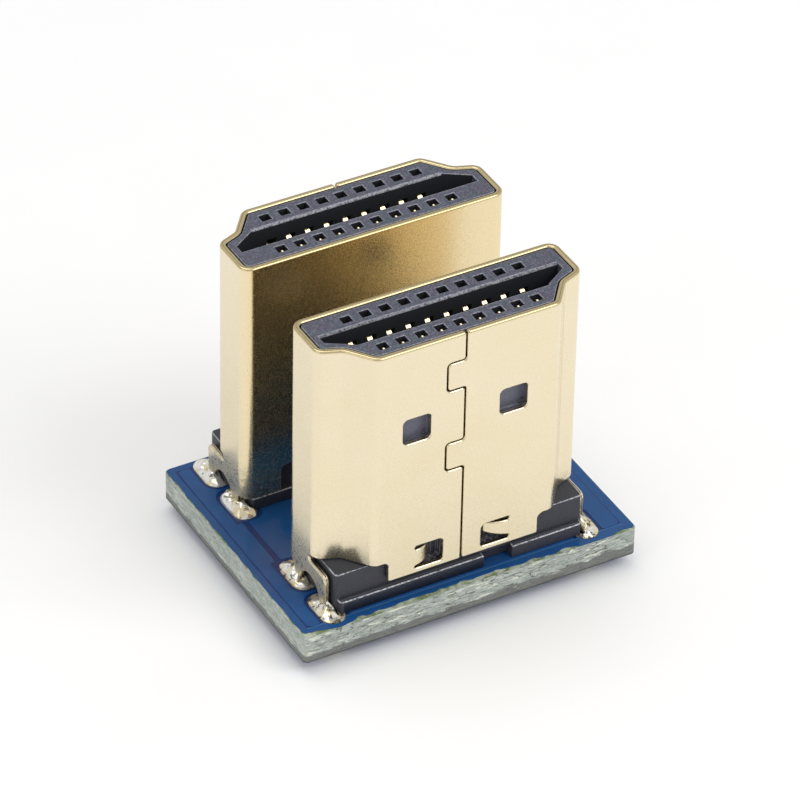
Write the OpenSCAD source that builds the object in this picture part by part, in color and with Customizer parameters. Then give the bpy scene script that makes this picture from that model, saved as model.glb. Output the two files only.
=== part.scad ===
// Adapter board with two upright 19-contact digital video plugs, wide sides facing each other.
// Millimetres. +Z is up, +X runs along the plugs, the front plug is on the -Y side.
// The origin is at the bottom centre, on the plane of the leg and tail tips.

/* [Board] */
// Length of the board along the plugs
board_length = 17.8; // [17.4:0.1:24]
// Width of the board across the two plugs
board_width = 14.3; // [14.2:0.1:20]
// Thickness of the laminate
board_thick = 1.5; // [1:0.1:2]
// Radius of the board's corners
board_corner = 0.25; // [0.1:0.05:1]
// Length of leg and tail that shows under the board
stick_out = 0.7; // [0.5:0.05:1.2]

/* [Plug layout] */
// Distance between the middle planes of the two plugs
plug_pitch = 8.8; // [8.7:0.05:8.9]
// How far both plugs stand left of the board's middle
plug_shift = 0.2; // [0:0.05:0.5]
// How far both plugs stand behind the board's middle
plug_setback = 0.1; // [0:0.05:0.1]
// Height of the plugs' rims above the board
rim_height = 14.2; // [13:0.1:18]

/* [Shell] */
// Width of a shell over its side walls
shell_width = 13.9; // [13.8:0.05:14.1]
// Depth of a shell from its wide face to its narrow face
shell_depth = 4.45; // [4.4:0.05:4.5]
// Thickness of the folded sheet
sheet = 0.3; // [0.2:0.02:0.34]
// Width of the narrow face between its bends
narrow_width = 9.5; // [9.2:0.1:9.8]
// Width of the shell at the hollow of its S-bend
knee_width = 11.6; // [11.3:0.1:11.8]
// Height of the S-bend's hollow over the narrow face
knee_rise = 1.35; // [1.2:0.05:1.45]
// Height of the S-bend's shoulder over the narrow face
shoulder_rise = 1.8; // [1.7:0.05:2]
// Outside radius of the bends beside the wide face
wide_bend = 0.6; // [0.5:0.05:0.8]
// Outside radius of the other bends
side_bend = 0.6; // [0.5:0.01:0.65]
// Gap of the seam in the narrow face
seam_gap = 0.07; // [0.04:0.01:0.12]
// Distance of the seam to the left of the middle
seam_shift = 0.12; // [0:0.02:0.2]
// Reach of the seam's two interlocking tabs
seam_tab = 0.95; // [0.6:0.05:1]
// Height of each interlocking tab
seam_tab_height = 1.56; // [1.2:0.02:1.8]
// Depth of the upper tab below the rim
seam_tab_drop = 1.54; // [1.2:0.02:2]
// Distance from one tab to the next
seam_tab_pitch = 4.55; // [4.2:0.05:5]

/* [Shell windows and lances] */
// Half the distance from one latch window to the other
latch_x = 2.54; // [2.4:0.02:2.7]
// Depth of the latch windows' middles below the rim
latch_drop = 4.68; // [4.4:0.02:5]
// Width of a latch window
latch_width = 1.44; // [1.1:0.02:1.5]
// Height of a latch window
latch_height = 1.38; // [1:0.02:1.5]
// Distance of all the narrow face's windows to the left of the middle
window_shift = 0.08; // [0:0.02:0.1]
// Half the distance from one lance window to the other
lance_x = 1.76; // [1.7:0.02:1.9]
// Height of the lance windows' middles above the board
lance_z = 2.05; // [2:0.01:2.2]
// Width of a lance window
lance_width = 1.48; // [1.3:0.02:1.6]
// Height of a lance window
lance_height = 1.28; // [1.1:0.02:1.4]
// Bend radius of the short lance that curls in on the left
curl_radius = 1.05; // [0.9:0.05:1.1]
// Angle that the short lance turns through
curl_angle = 62; // [50:1:62]
// Bend radius of the long lance that leans in on the right
tongue_radius = 1.95; // [1.8:0.05:2.2]
// Angle that the long lance turns through
tongue_angle = 38; // [30:1:40]
// Height of the opening under the short lance
curl_opening = 0.16; // [0.08:0.02:0.3]
// Height of the opening under the long lance
tongue_opening = 0.38; // [0.2:0.02:0.5]

/* [Shell skirt and legs] */
// Height of the narrow face's lower edge above the board
skirt_z = 1.12; // [1:0.02:1.3]
// Width of the narrow face's skirt
skirt_width = 8; // [7.6:0.1:8.4]
// Height of the wide face's lower corners above the board
corner_z = 0.8; // [0.8:0.05:1]
// Width of the opening at the foot of the wide face
wide_cut_width = 9.8; // [9:0.1:10.4]
// Height of the leg plates above the board
plate_height = 1.9; // [1.8:0.05:2.15]
// Reach of the leg plates from the middle plane to the narrow side
plate_reach = 1.46; // [1.4:0.02:1.6]
// Reach of the leg plates to the wide side
plate_back = 1.56; // [1.5:0.02:1.62]
// Radius of the arch between two legs
arch_radius = 0.95; // [0.85:0.05:1]
// Bevel of the leg tips
leg_bevel = 0.22; // [0.1:0.02:0.3]

/* [Housing] */
// Depth of the housing's face below the rim
face_drop = 0.05; // [0.05:0.05:0.2]
// Clearance between the housing and the shell
fit = 0.06; // [0.02:0.01:0.1]
// Height of the housing's base block above the board
block_height = 2.2; // [2.16:0.01:2.22]
// Height of the ledges along the base
ledge_height = 0.75; // [0.6:0.05:0.78]
// Reach of the ledges from the middle plane
ledge_reach = 2.15; // [2.1:0.01:2.2]
// Distance of the ledge ends from the block's ends
ledge_inset = 0.12; // [0.05:0.01:0.2]
// Gap between the housing's underside and the board
standoff = 0.12; // [0.08:0.01:0.2]
// Left end of the notch in the front ledge
notch_start = 1.15; // [0.9:0.05:1.2]
// Width of the notch in the front ledge
notch_width = 1.55; // [1.3:0.05:1.8]
// Depth of the plug's slot from the face
slot_depth = 6.2; // [5:0.1:6.6]
// Distance of the slot's wide-side wall from the middle plane
slot_wide = 0.62; // [0.58:0.01:0.66]
// Distance of the slot's narrow-side wall from the middle plane
slot_narrow = 0.6; // [0.56:0.01:0.66]
// Thickness of housing left at the slot's ends
slot_end_wall = 0.35; // [0.3:0.05:0.5]
// Length of the slot's slanted corners along the plug
slot_corner = 1.2; // [1.05:0.05:1.3]
// Height of the slot's square ends
slot_square = 0.45; // [0.35:0.05:0.55]
// Chamfer along the slot's lips
lip_chamfer = 0.1; // [0.06:0.01:0.12]

/* [Contacts] */
// Distance from one contact to the next in a row
contact_pitch = 1; // [0.98:0.01:1.02]
// Number of contacts in the wide row
wide_count = 10; // [8:1:10]
// Distance of both rows from the middle plane
row_y = 1.27; // [1.25:0.01:1.3]
// Width of a contact
contact_width = 0.32; // [0.26:0.02:0.36]
// Thickness of a contact
contact_thick = 0.2; // [0.16:0.01:0.22]
// Width of a contact's nose
nose_width = 0.16; // [0.12:0.02:0.2]
// Distance of the contact point from the middle plane
touch_y = 0.42; // [0.36:0.02:0.5]
// Width of a contact channel
channel_width = 0.52; // [0.46:0.02:0.6]
// Depth of a channel's window from its inner to its outer wall
channel_depth = 0.48; // [0.4:0.01:0.5]
// Height of the lip between a window and the slot
lip_height = 0.8; // [0.6:0.05:0.9]
// Depth of the noses below the housing's face
nose_drop = 0.3; // [0.2:0.01:0.4]
// Depth of the contact points below the lips
touch_drop = 0.9; // [0.8:0.05:1.2]
// Distance of the inner tails from the middle plane
inner_tail_y = 0.55; // [0.5:0.05:0.65]

/* [Solder and lands] */
// Distance of the leg slots from the middle plane
slot_y = 1.4; // [1.35:0.01:1.42]
// Length of a leg slot
leg_slot_length = 1.85; // [1.8:0.05:1.95]
// Width of a leg slot
leg_slot_width = 0.7; // [0.6:0.05:0.8]
// Width of the land round a leg slot
leg_land_ring = 0.25; // [0.2:0.01:0.28]
// Diameter of a tail hole
tail_hole = 0.6; // [0.5:0.02:0.66]
// Width of the land round a tail hole
tail_land_ring = 0.15; // [0.12:0.01:0.2]
// Thickness of a land
land_thick = 0.06; // [0.04:0.01:0.08]
// Thickness of the plating in a hole
plating = 0.03; // [0.02:0.01:0.05]
// Height of the leg solder on top of the board
leg_solder_rise = 0.55; // [0.3:0.05:0.8]
// Length of leg and tail tip that stands out of the solder below
bare_tip = 0.2; // [0.1:0.05:0.3]

/* [Hidden] */
$fn = 48;
cut = 1;
wide_y = shell_depth / 2;
narrow_y = -shell_depth / 2;
side_x = shell_width / 2;
leg_x = side_x - sheet / 2;
inner_x = side_x - sheet - fit;
inner_y = wide_y - sheet - fit;
board_top = stick_out + board_thick;
face_z = rim_height - face_drop;
slot_floor = face_z - slot_depth;
slot_x = inner_x - slot_end_wall;
narrow_count = wide_count - 1;
pin_count = wide_count + narrow_count;
shoulder_y = narrow_y + shoulder_rise;
tail_tip = -board_top;
channel_in = row_y - channel_depth / 2;
channel_out = row_y + channel_depth / 2;
channel_top = face_z - lip_height;
passage_gap = 0.02;
pocket_height = 0.95;
tail_room_x = pin_x(pin_count) + contact_pitch;
tail_gap = 0.1;
tail_room_y = row_y + contact_thick / 2 + tail_gap;
tail_trim = 0.04;
tail_half = contact_width / 2 - tail_trim;
tail_lift = 0.1;
tail_end = tail_tip + tail_lift;
tail_taper = 0.15;
tail_bend = 0.2;
jog_drop = 0.1;
board_gap_z = 0.3;
block_edge = 0.2;
foot_diameter = 0.5;
notch_depth = 0.25;
skirt_gap = 0.04;
cut_z = block_height + skirt_gap;
cut_bend = 0.3;
trim_bend = 0.1;
plate_bend = 0.3;
arch_z = 0.12;
arch_y = (plate_back - plate_reach) / 2;
tab_bend = 0.2;
tab_root_bend = 0.12;
window_bend = 0.25;
lance_bend = 0.16;
latch_pocket = 0.2;
lance_pocket = 0.4;
lance_slit = 0.08;
lance_low = lance_z - lance_height / 2;
lance_high = lance_z + lance_height / 2;
seam_x = -seam_shift;
nose_gap = 0.06;
nose_drop_bend = 0.15;
rise_drop = 0.42;
rise_bend = 0.35;
touch_bend = 0.6;
waist_drop = 0.25;
root_rise = 0.3;
root_bend = 1.5;
route_steps = 4;
bare_ring = 0.06;
leg_core_inset = 0.12;
tail_core_wrap = 0.04;
fillet_foot = 0.05;
fillet_low = [0.45, 0.28];
fillet_high = [0.15, 0.6];

// Corners of the shell's outside, counterclockwise: x, y and bend radius
shell_corners = [
    [-narrow_width / 2, narrow_y, side_bend],
    [narrow_width / 2, narrow_y, side_bend],
    [knee_width / 2, narrow_y + knee_rise, side_bend],
    [side_x, shoulder_y, side_bend],
    [side_x, wide_y, wide_bend],
    [-side_x, wide_y, wide_bend],
    [-side_x, shoulder_y, side_bend],
    [-knee_width / 2, narrow_y + knee_rise, side_bend]
];

function unit(v) = v / norm(v);
function left(v) = [-v[1], v[0]];
function flat(p) = [p[0], p[1]];
function turned(v, a) = [v[0] * cos(a) - v[1] * sin(a), v[0] * sin(a) + v[1] * cos(a)];
function turn_sign(u, v) = cross(u, v) > 0 ? 1 : -1;
function half_turn(u, v) = atan(abs(cross(u, v)) / (1 + u * v));
function arrival(c, i) = unit(flat(c[i]) - flat(c[(i + len(c) - 1) % len(c)]));
function departure(c, i) = unit(flat(c[(i + 1) % len(c)]) - flat(c[i]));

// Corner i of an outline moved inwards by d, with its radius kept concentric
function inset_corner(c, i, d) =
    let (u = arrival(c, i), v = departure(c, i), n = left(u), m = left(v))
    let (p = flat(c[i]) + d * (n + m) / (1 + n * m))
    [p[0], p[1], max(0.02, c[i][2] - turn_sign(u, v) * d)];
function inset_outline(c, d) = [for (i = [0:len(c) - 1]) inset_corner(c, i, d)];

// Points along the bend at corner p between a and b, in n steps
function bend(a, p, b, r, n) =
    let (u = unit(p - a), v = unit(b - p), s = turn_sign(u, v), h = half_turn(u, v))
    let (o = p - u * r * tan(h) + s * r * left(u))
    [for (k = [0:n]) o + turned(-s * r * left(u), s * 2 * h * k / n)];

// A route with its inner corners bent, given as [x, y, radius] points
function bent_route(c, n) = concat(
    [flat(c[0])],
    [for (i = [1:len(c) - 2]) each bend(flat(c[i - 1]), flat(c[i]), flat(c[i + 1]), c[i][2], n)],
    [flat(c[len(c) - 1])]
);
function route_normal(p, i) =
    let (u = unit(p[min(i + 1, len(p) - 1)] - p[min(i, len(p) - 2)]))
    let (v = unit(p[max(i, 1)] - p[max(i - 1, 0)]))
    (left(u) + left(v)) / (1 + u * v);

// Closed outline with round bends, from [x, y, radius] corners, counterclockwise
module outline(c) {
    last = len(c) - 1;
    ends = [for (i = [0:last]) c[i][2] * tan(half_turn(arrival(c, i), departure(c, i)))];
    signs = [for (i = [0:last]) turn_sign(arrival(c, i), departure(c, i))];
    difference() {
        union() {
            polygon([for (i = [0:last])
                each [flat(c[i]) - ends[i] * arrival(c, i), flat(c[i]) + ends[i] * departure(c, i)]]);
            for (i = [0:last]) if (signs[i] > 0) bend_disc(c, i, ends[i], 1);
        }
        for (i = [0:last]) if (signs[i] < 0) bend_disc(c, i, ends[i], -1);
    }
}
module bend_disc(c, i, reach, side) {
    translate(flat(c[i]) - reach * arrival(c, i) + side * c[i][2] * left(arrival(c, i)))
        circle(r = c[i][2]);
}

module rounded_box(w, h, r) {
    outline([[-w / 2, -h / 2, r], [w / 2, -h / 2, r], [w / 2, h / 2, r], [-w / 2, h / 2, r]]);
}

module stadium(w, l) {
    square([w, l - w], center = true);
    for (s = [-1, 1]) translate([0, s * (l - w) / 2]) circle(d = w);
}

// Strip of sheet of width w and thickness t along a bent route
module strip(route, t) {
    last = len(route) - 1;
    polygon(concat(
        [for (i = [0:last]) route[i] + route_normal(route, i) * t / 2],
        [for (i = [last:-1:0]) route[i] - route_normal(route, i) * t / 2]
    ));
}

// Extrusions of a profile drawn as (x, z), from y0 to y1, and as (y, z), from x0 to x1
module along_y(y0, y1) {
    translate([0, y1, 0]) rotate([90, 0, 0]) linear_extrude(y1 - y0) children();
}
module along_x(x0, x1) {
    translate([x0, 0, 0]) rotate([90, 0, 90]) linear_extrude(x1 - x0) children();
}
module box_between(a, b) {
    translate(a) cube(b - a);
}

// A plug is drawn at the origin with its wide side to +Y and the board's top at z = 0
module front_place() {
    translate([-plug_shift, plug_setback - plug_pitch / 2, board_top]) children();
}
module rear_place() {
    translate([-plug_shift, plug_setback + plug_pitch / 2, board_top]) rotate(180) children();
}
module leg_places() {
    for (x = [-leg_x, leg_x], y = [-slot_y, slot_y]) translate([x, y, 0]) children();
}

// Pins are numbered as on the real plug: odd numbers in the wide row, even in the narrow row
function pin_x(pin) = ((pin - 1) / 2 - narrow_count / 2) * contact_pitch;
function pin_side(pin) = pin % 2 == 1 ? 1 : -1;
function pin_inner(pin) = floor((pin - 1) / 2) % 2 == 1;
function tail_y(pin) = pin_inner(pin) ? inner_tail_y : row_y;
module tail_places() {
    for (pin = [1:pin_count]) translate([pin_x(pin), pin_side(pin) * tail_y(pin), 0]) children();
}

module board() {
    color("steelblue") translate([0, 0, stick_out]) linear_extrude(board_thick) difference() {
        rounded_box(board_length, board_width, board_corner);
        board_holes(plug_setback - plug_pitch / 2, 0);
        board_holes(plug_setback + plug_pitch / 2, 180);
    }
}
module board_holes(y, angle) {
    translate([-plug_shift, y]) rotate(angle) {
        leg_places() stadium(leg_slot_width, leg_slot_length);
        tail_places() circle(d = tail_hole);
    }
}

// Right half of the sheet, which carries two tabs that reach left over the seam
module seam_region(grow) {
    tops = [for (k = [0:1]) rim_height - seam_tab_drop - k * seam_tab_pitch];
    outline(inset_outline(concat(
        [[2 * side_x, -cut, trim_bend], [2 * side_x, rim_height + cut, trim_bend]],
        [[seam_x, rim_height + cut, trim_bend]],
        [for (z = tops) each [
            [seam_x, z, tab_root_bend], [seam_x - seam_tab, z, tab_bend],
            [seam_x - seam_tab, z - seam_tab_height, tab_bend],
            [seam_x, z - seam_tab_height, tab_root_bend]]],
        [[seam_x, -cut, trim_bend]]
    ), -grow));
}
module seam() {
    along_y(narrow_y - cut, narrow_y + 2 * sheet) difference() {
        seam_region(seam_gap / 2);
        seam_region(-seam_gap / 2);
    }
}

module latch_openings(depth) {
    for (s = [-1, 1]) translate([s * latch_x - window_shift, 0, rim_height - latch_drop])
        along_y(-depth, depth) rounded_box(latch_width, latch_height, window_bend);
}

module lance_openings(depth) {
    for (s = [-1, 1]) translate([s * lance_x - window_shift, 0, lance_z])
        along_y(narrow_y - cut, narrow_y + depth) rounded_box(lance_width, lance_height, lance_bend);
}

// A lance is cut free on three sides and bent inwards from its root, by an angle at a radius
module lance(root_x, side, radius, angle, low, high) {
    translate([root_x, narrow_y + radius, low]) mirror([side > 0 ? 0 : 1, 0, 0])
        rotate(-90) rotate_extrude(angle = angle)
            translate([radius - sheet, 0]) square([sheet, high - low]);
}
module lances() {
    root = lance_x + lance_width / 2;
    head = lance_high - lance_slit;
    lance(-root - window_shift, 1, curl_radius, curl_angle, lance_low + curl_opening, head);
    lance(root - window_shift, -1, tongue_radius, tongue_angle, lance_low + tongue_opening, head);
}

// Leg plate in the plane of the side wall, drawn as (y, z)
module leg_plate() {
    difference() {
        outline([
            [-plate_reach, tail_tip, leg_bevel], [plate_back, tail_tip, leg_bevel],
            [plate_back, plate_height, 0.02], [-plate_reach, plate_height, plate_bend]
        ]);
        translate([arch_y, arch_z]) circle(r = arch_radius);
        translate([arch_y - arch_radius, tail_tip - cut])
            square([2 * arch_radius, cut + arch_z - tail_tip]);
        for (s = [-1, 1]) translate([arch_y + s * arch_radius, tail_tip])
            rotate(45) square(leg_bevel, center = true);
    }
}

// Parts of the drawn tube that the sheet's outline leaves out at the foot of the shell
module foot_cuts() {
    bend_start = shoulder_y + side_bend * tan(half_turn(
        arrival(shell_corners, 3), departure(shell_corners, 3)));
    box_between([-side_x - cut, narrow_y - cut, 0], [side_x + cut, -inner_y, skirt_z]);
    for (s = [-1, 1]) mirror([s > 0 ? 0 : 1, 0, 0])
        along_y(narrow_y - cut, bend_start) outline([
            [skirt_width / 2, -cut, trim_bend], [side_x + cut, -cut, trim_bend],
            [side_x + cut, cut_z, trim_bend], [skirt_width / 2, cut_z, cut_bend]
        ]);
    along_y(inner_y, wide_y + cut) outline([
        [-wide_cut_width / 2, -cut, trim_bend], [wide_cut_width / 2, -cut, trim_bend],
        [wide_cut_width / 2, cut_z, cut_bend], [-wide_cut_width / 2, cut_z, cut_bend]
    ]);
}

module shell() {
    color("gold") {
        difference() {
            translate([0, 0, corner_z]) linear_extrude(rim_height - corner_z) difference() {
                outline(shell_corners);
                outline(inset_outline(shell_corners, sheet));
            }
            foot_cuts();
            latch_openings(side_x);
            lance_openings(2 * sheet);
            seam();
        }
        for (x = [-side_x, side_x - sheet]) along_x(x, x + sheet) leg_plate();
        lances();
    }
}

// Slot for the mating tongue, with square ends on the wide side and slanted corners
module slot_outline() {
    polygon([
        [-slot_x + slot_corner, -slot_narrow], [slot_x - slot_corner, -slot_narrow],
        [slot_x, slot_wide - slot_square], [slot_x, slot_wide],
        [-slot_x, slot_wide], [-slot_x, slot_wide - slot_square]
    ]);
}
module lip_wedge() {
    c = lip_chamfer;
    polygon([[-c, c], [-c, -c], [0, -c], [2 * c, c]]);
}
module lip_chamfers() {
    narrow_x = slot_x - slot_corner;
    along_x(-slot_x, slot_x) translate([slot_wide, face_z]) lip_wedge();
    along_x(-narrow_x, narrow_x) translate([-slot_narrow, face_z]) mirror([1, 0]) lip_wedge();
}

// Room for one contact: its window, the groove below the lip and the tight passage to the base
module channel(pin) {
    w = channel_width / 2;
    p = contact_width / 2 + passage_gap;
    t = contact_thick / 2 + passage_gap;
    translate([pin_x(pin), 0, 0]) mirror([0, pin_side(pin) > 0 ? 0 : 1, 0]) {
        box_between([-w, channel_in, channel_top - cut], [w, channel_out, face_z + cut]);
        box_between([-w, 0, slot_floor], [w, channel_out, channel_top]);
        box_between([-p, row_y - t, standoff], [p, row_y + t, slot_floor + cut]);
    }
}

module base_block() {
    wide_edge = wide_bend - sheet - fit;
    ledge_x = inner_x - ledge_inset;
    translate([0, 0, standoff]) linear_extrude(block_height - standoff) outline([
        [-inner_x, -inner_y, block_edge], [inner_x, -inner_y, block_edge],
        [inner_x, inner_y, wide_edge], [-inner_x, inner_y, wide_edge]
    ]);
    translate([0, 0, standoff]) linear_extrude(ledge_height - standoff)
        rounded_box(2 * ledge_x, 2 * ledge_reach, block_edge);
    for (x = [-1, 1], y = [-1, 1]) translate([x * (tail_room_x + foot_diameter / 2), y * inner_y, 0])
        cylinder(d = foot_diameter, h = ledge_height);
}

module housing() {
    color("dimgray") difference() {
        union() {
            translate([0, 0, standoff]) linear_extrude(face_z - standoff)
                outline(inset_outline(shell_corners, sheet + fit));
            base_block();
        }
        translate([0, 0, slot_floor]) linear_extrude(slot_depth + cut) slot_outline();
        lip_chamfers();
        for (pin = [1:pin_count]) channel(pin);
        box_between([-tail_room_x, -tail_room_y, -cut], [tail_room_x, tail_room_y, pocket_height]);
        box_between([notch_start, -ledge_reach - cut, 0],
            [notch_start + notch_width, notch_depth - inner_y, ledge_height]);
        for (y = [-1, 1]) mirror([0, y > 0 ? 0 : 1, 0]) intersection() {
            latch_openings(side_x);
            box_between([-side_x, inner_y - latch_pocket, 0], [side_x, wide_y, rim_height]);
        }
        lance_openings(sheet + fit + lance_pocket);
    }
}

// Side view of a contact for the wide row, drawn as (y, z), from the nose down to the tail
nose_y = channel_in + contact_thick / 2 + nose_gap;
nose_z = face_z - nose_drop;
lip_z = face_z - lip_height;
rise_y = touch_y + 2 * contact_thick;
function contact_route(pin) = concat(
    [
        [nose_y, nose_z, 0], [nose_y, lip_z - nose_gap, nose_drop_bend],
        [rise_y, lip_z - rise_drop, rise_bend],
        [touch_y + contact_thick / 2, lip_z - touch_drop, touch_bend],
        [row_y, slot_floor + root_rise, root_bend]
    ],
    pin_inner(pin)
        ? [
            [row_y, pocket_height - jog_drop, tail_bend],
            [inner_tail_y, board_gap_z, tail_bend], [inner_tail_y, tail_end, 0]
        ]
        : [[row_y, tail_end, 0]]
);
// Front view of a contact: full width along the beam, narrow at the nose and the tail
module contact_front() {
    half = [
        [nose_width / 3, nose_z], [nose_width / 2, lip_z], [contact_width / 2, lip_z - waist_drop],
        [contact_width / 2, pocket_height], [tail_half, board_gap_z],
        [tail_half, tail_end + tail_taper],
        [tail_half / 2, tail_end]
    ];
    polygon(concat(half, [for (i = [len(half) - 1:-1:0]) [-half[i][0], half[i][1]]]));
}
module contact(pin) {
    color("goldenrod") translate([pin_x(pin), 0, 0]) mirror([0, pin_side(pin) > 0 ? 0 : 1, 0])
        intersection() {
            along_x(-contact_width / 2, contact_width / 2)
                strip(bent_route(contact_route(pin), route_steps), contact_thick);
            along_y(0, wide_y) contact_front();
        }
}

// Lands on both faces of the board, joined by the plating of the hole between them
module plated_hole() {
    bottom = -board_thick;
    color("khaki") difference() {
        union() {
            translate([0, 0, bottom - land_thick]) linear_extrude(land_thick) children(0);
            translate([0, 0, bottom]) linear_extrude(board_thick) children(1);
            linear_extrude(land_thick) children(0);
        }
        translate([0, 0, bottom - cut]) linear_extrude(board_thick + 2 * cut) children(2);
    }
}
module leg_lands() {
    ring = 2 * leg_land_ring;
    leg_places() plated_hole() {
        stadium(leg_slot_width + ring, leg_slot_length + ring);
        stadium(leg_slot_width, leg_slot_length);
        stadium(leg_slot_width - 2 * plating, leg_slot_length - 2 * plating);
    }
}
module tail_lands() {
    tail_places() plated_hole() {
        circle(d = tail_hole + 2 * tail_land_ring);
        circle(d = tail_hole);
        circle(d = tail_hole - 2 * plating);
    }
}

// Half profile of a solder fillet that wets a land of radius r and climbs to height h
function fillet_point(r, core, h, share) = [core + (r - core) * share[0], h * share[1]];
function fillet_profile(r, core, h) = [
    [0, 0], [r, 0], [r, fillet_foot], fillet_point(r, core, h, fillet_low),
    fillet_point(r, core, h, fillet_high), [core, h], [0, h]
];
module long_fillet(r, core, h, length) {
    half = fillet_profile(r, core, h);
    for (s = [0, 180]) rotate(s) translate([0, length / 2, 0])
        rotate_extrude(angle = 180) polygon(half);
    along_y(-length / 2, length / 2)
        polygon(concat(half, [for (i = [len(half) - 1:-1:0]) [-half[i][0], half[i][1]]]));
}

module leg_solder() {
    run = leg_slot_length - leg_slot_width;
    wet = leg_slot_width / 2 + leg_land_ring - bare_ring;
    core = leg_slot_width / 2 - leg_core_inset;
    color("silver") difference() {
        leg_places() {
            translate([0, 0, -board_thick - land_thick]) linear_extrude(board_thick + 2 * land_thick)
                stadium(leg_slot_width - 2 * plating, leg_slot_length - 2 * plating);
            translate([0, 0, land_thick]) long_fillet(wet, core, leg_solder_rise, run);
            translate([0, 0, -board_thick - land_thick]) mirror([0, 0, 1])
                long_fillet(wet, core, stick_out - bare_tip, run);
        }
        for (x = [-side_x, side_x - sheet]) along_x(x, x + sheet) leg_plate();
        box_between([sheet - side_x, -wide_y, land_thick], [side_x - sheet, wide_y, block_height]);
    }
}

module tail_solder() {
    r = tail_hole / 2;
    core = contact_width / 2 + tail_core_wrap;
    color("silver") for (pin = [1:pin_count])
        translate([pin_x(pin), pin_side(pin) * tail_y(pin), 0]) difference() {
            union() {
                translate([0, 0, -board_thick - land_thick])
                    cylinder(r = r - plating, h = board_thick + 2 * land_thick);
                translate([0, 0, -board_thick - land_thick]) mirror([0, 0, 1]) rotate_extrude()
                    polygon(fillet_profile(r + tail_land_ring - bare_ring, core, stick_out - bare_tip));
            }
            box_between([-tail_half, -contact_thick / 2, tail_tip - cut],
                [tail_half, contact_thick / 2, cut]);
        }
}

function contact_name(plug, pin) = str(plug, "_contact_", pin < 10 ? "0" : "", pin);

board();
front_place() shell();  // front_shell
rear_place() shell();  // rear_shell
front_place() housing();  // front_housing
rear_place() housing();  // rear_housing
front_place() leg_lands();  // front_leg_lands
rear_place() leg_lands();  // rear_leg_lands
front_place() tail_lands();  // front_tail_lands
rear_place() tail_lands();  // rear_tail_lands
front_place() leg_solder();  // front_leg_solder
rear_place() leg_solder();  // rear_leg_solder
front_place() tail_solder();  // front_tail_solder
rear_place() tail_solder();  // rear_tail_solder
for (pin = [1:pin_count]) {
    front_place() contact(pin);
    rear_place() contact(pin);
}
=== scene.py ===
# %% [markdown]
# # Two gold plugs on a small blue board
#
# This notebook dresses a double plug adapter for a studio picture. The frame, which is the
# engineering model with every piece in its true place, comes in first and never moves. Each later
# cell then takes one real piece, says what it is and how a factory makes it, and gives it the
# shape of its edges and the finish that the eye expects.

import bmesh
import bpy
import numpy as np
from mathutils import Matrix, Vector, geometry


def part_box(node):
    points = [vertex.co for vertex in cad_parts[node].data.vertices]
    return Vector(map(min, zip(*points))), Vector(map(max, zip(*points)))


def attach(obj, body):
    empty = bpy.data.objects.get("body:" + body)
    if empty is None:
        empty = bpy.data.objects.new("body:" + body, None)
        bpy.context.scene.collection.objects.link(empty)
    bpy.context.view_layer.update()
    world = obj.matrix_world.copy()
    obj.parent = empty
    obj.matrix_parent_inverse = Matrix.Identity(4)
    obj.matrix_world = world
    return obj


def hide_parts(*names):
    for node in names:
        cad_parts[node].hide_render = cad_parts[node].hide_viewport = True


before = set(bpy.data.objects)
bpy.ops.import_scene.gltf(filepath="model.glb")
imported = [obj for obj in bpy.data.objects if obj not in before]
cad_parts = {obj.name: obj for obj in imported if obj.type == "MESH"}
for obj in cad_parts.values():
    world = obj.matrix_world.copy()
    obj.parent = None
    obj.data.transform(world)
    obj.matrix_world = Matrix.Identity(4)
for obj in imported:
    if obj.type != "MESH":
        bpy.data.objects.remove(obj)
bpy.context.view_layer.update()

# %% [markdown]
# ## Millimetres, faces and colours
#
# Blender works in metres, and a plug is easier to think about in millimetres. So every shape below
# is worked out in millimetres, and one function turns it to metres when the mesh is made.
# Colours are written as the hex values that an image editor shows, and one function turns them
# into the linear light values that a shader adds up.

# %% Helpers for meshes, colours and shader nodes
MM = 0.001


def linear(colour):
    """The linear RGBA of an sRGB hex colour: a straight part near black, then a power of 2.4.
    Another node's output is left as it is."""
    if not isinstance(colour, str):
        return colour
    srgb = np.array([int(colour[i : i + 2], 16) for i in (1, 3, 5)]) / 255
    light = np.where(srgb <= 0.04045, srgb / 12.92, ((srgb + 0.055) / 1.055) ** 2.4)
    return (*light, 1.0)


def add_node(tree, kind, inputs=None, **properties):
    """Adds a shader node, and gives each input a value or another node's output."""
    made = tree.nodes.new("ShaderNode" + kind)
    for name, value in properties.items():
        setattr(made, name, value)
    for key, value in (inputs or {}).items():
        if isinstance(value, bpy.types.NodeSocket):
            tree.links.new(value, made.inputs[key])
        else:
            made.inputs[key].default_value = value
    return made


def new_material(name):
    """A material with its node tree emptied, and that tree."""
    made = bpy.data.materials.new(name)
    made.use_nodes = True
    made.node_tree.nodes.clear()
    return made, made.node_tree


def noise(where, size_mm, detail=3, roughness=0.6):
    """Noise of a size in millimetres. Like the next helpers, it finds the tree from its value."""
    return add_node(where.id_data, "TexNoise", {
        "Vector": where, "Scale": 1000 / size_mm, "Detail": detail, "Roughness": roughness,
    }).outputs[0]


def remap(value, low, high, to_low=0.0, to_high=1.0):
    """A value brought from one range to another, and held at its ends."""
    return add_node(value.id_data, "MapRange", {
        "Value": value, "From Min": low, "From Max": high, "To Min": to_low, "To Max": to_high,
    }).outputs[0]


def maths(operation, *values):
    """A sum, product or other working of up to three values, of which the first is an output."""
    inputs = dict(enumerate(values))
    return add_node(values[0].id_data, "Math", inputs, operation=operation).outputs[0]


def blend(share, first, second):
    """The mix of two colours, each a hex value or another node's output."""
    inputs = {"Fac": share, "Color1": linear(first), "Color2": linear(second)}
    return add_node(share.id_data, "MixRGB", inputs).outputs[0]


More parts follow.
